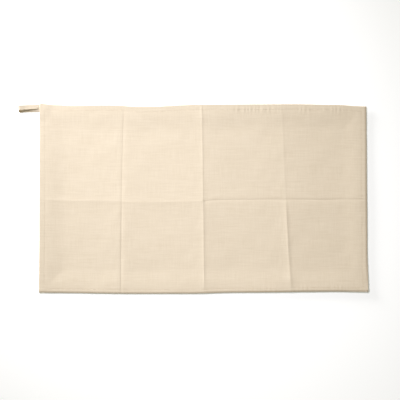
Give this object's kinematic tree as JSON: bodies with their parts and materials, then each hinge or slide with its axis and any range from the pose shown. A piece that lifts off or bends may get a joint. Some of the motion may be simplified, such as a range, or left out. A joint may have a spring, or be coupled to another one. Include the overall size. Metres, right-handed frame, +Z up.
{
  "type": "tea towel",
  "caption": "Hemmed linen tea towel lying flat, with stitched hems on all sides and a tape hanging loop at one corner. It folds on its pressed creases.",
  "frame": {"origin": "under the middle of the whole towel with its loop, on the surface it lies on", "axes": "+X along the long sides, away from the loop; +Y across, towards the hem that the loop is flush with; +Z up out of the cloth's face"},
  "size_m": [0.745, 0.4, 0.0072],
  "materials": {
    "natural_linen": "plain weave, matt, pressed",
    "linen_tape": "narrow woven tape, matt",
    "sewing_thread": "spun sewing thread, slight sheen"
  },
  "bodies": {
    "first_field": {"cloth_field_1": "natural_linen", "top_hem_needle_thread_1": "sewing_thread", "top_hem_bobbin_thread_1": "sewing_thread", "bottom_hem_needle_thread_1": "sewing_thread", "bottom_hem_bobbin_thread_1": "sewing_thread", "left_hem_needle_thread": "sewing_thread", "left_hem_bobbin_thread": "sewing_thread", "loop_tape_ends": "linen_tape", "loop_needle_thread": "sewing_thread", "loop_bobbin_thread": "sewing_thread"},
    "second_field": {"cloth_field_2": "natural_linen", "top_hem_needle_thread_2": "sewing_thread", "top_hem_bobbin_thread_2": "sewing_thread", "bottom_hem_needle_thread_2": "sewing_thread", "bottom_hem_bobbin_thread_2": "sewing_thread"},
    "third_field": {"cloth_field_3": "natural_linen", "top_hem_needle_thread_3": "sewing_thread", "top_hem_bobbin_thread_3": "sewing_thread", "bottom_hem_needle_thread_3": "sewing_thread", "bottom_hem_bobbin_thread_3": "sewing_thread"},
    "fourth_field": {"cloth_field_4": "natural_linen", "top_hem_needle_thread_4": "sewing_thread", "top_hem_bobbin_thread_4": "sewing_thread", "bottom_hem_needle_thread_4": "sewing_thread", "bottom_hem_bobbin_thread_4": "sewing_thread", "right_hem_needle_thread": "sewing_thread", "right_hem_bobbin_thread": "sewing_thread"},
    "hanging_loop": {"loop_tape": "linen_tape"}
  },
  "joints": [
    {"name": "fold_left", "type": "hinge", "parent": "first_field", "child": "second_field", "pos_m": [-0.1525, 0, 0.01422], "axis": [0, -1, 0], "range_deg": [0, 179.8]},
    {"name": "fold_centre", "type": "hinge", "parent": "second_field", "child": "third_field", "pos_m": [0.0225, 0, 0.00745], "axis": [0, -1, 0], "range_deg": [0, 179.8]},
    {"name": "fold_right", "type": "hinge", "parent": "third_field", "child": "fourth_field", "pos_m": [0.1975, 0, 0.00335], "axis": [0, -1, 0], "range_deg": [0, 179.8]},
    {"name": "loop_swing", "type": "hinge", "parent": "first_field", "child": "hanging_loop", "pos_m": [-0.3275, 0.195, 0.00477], "axis": [0, 1, 0], "range_deg": [0, 179.8]}
  ]
}
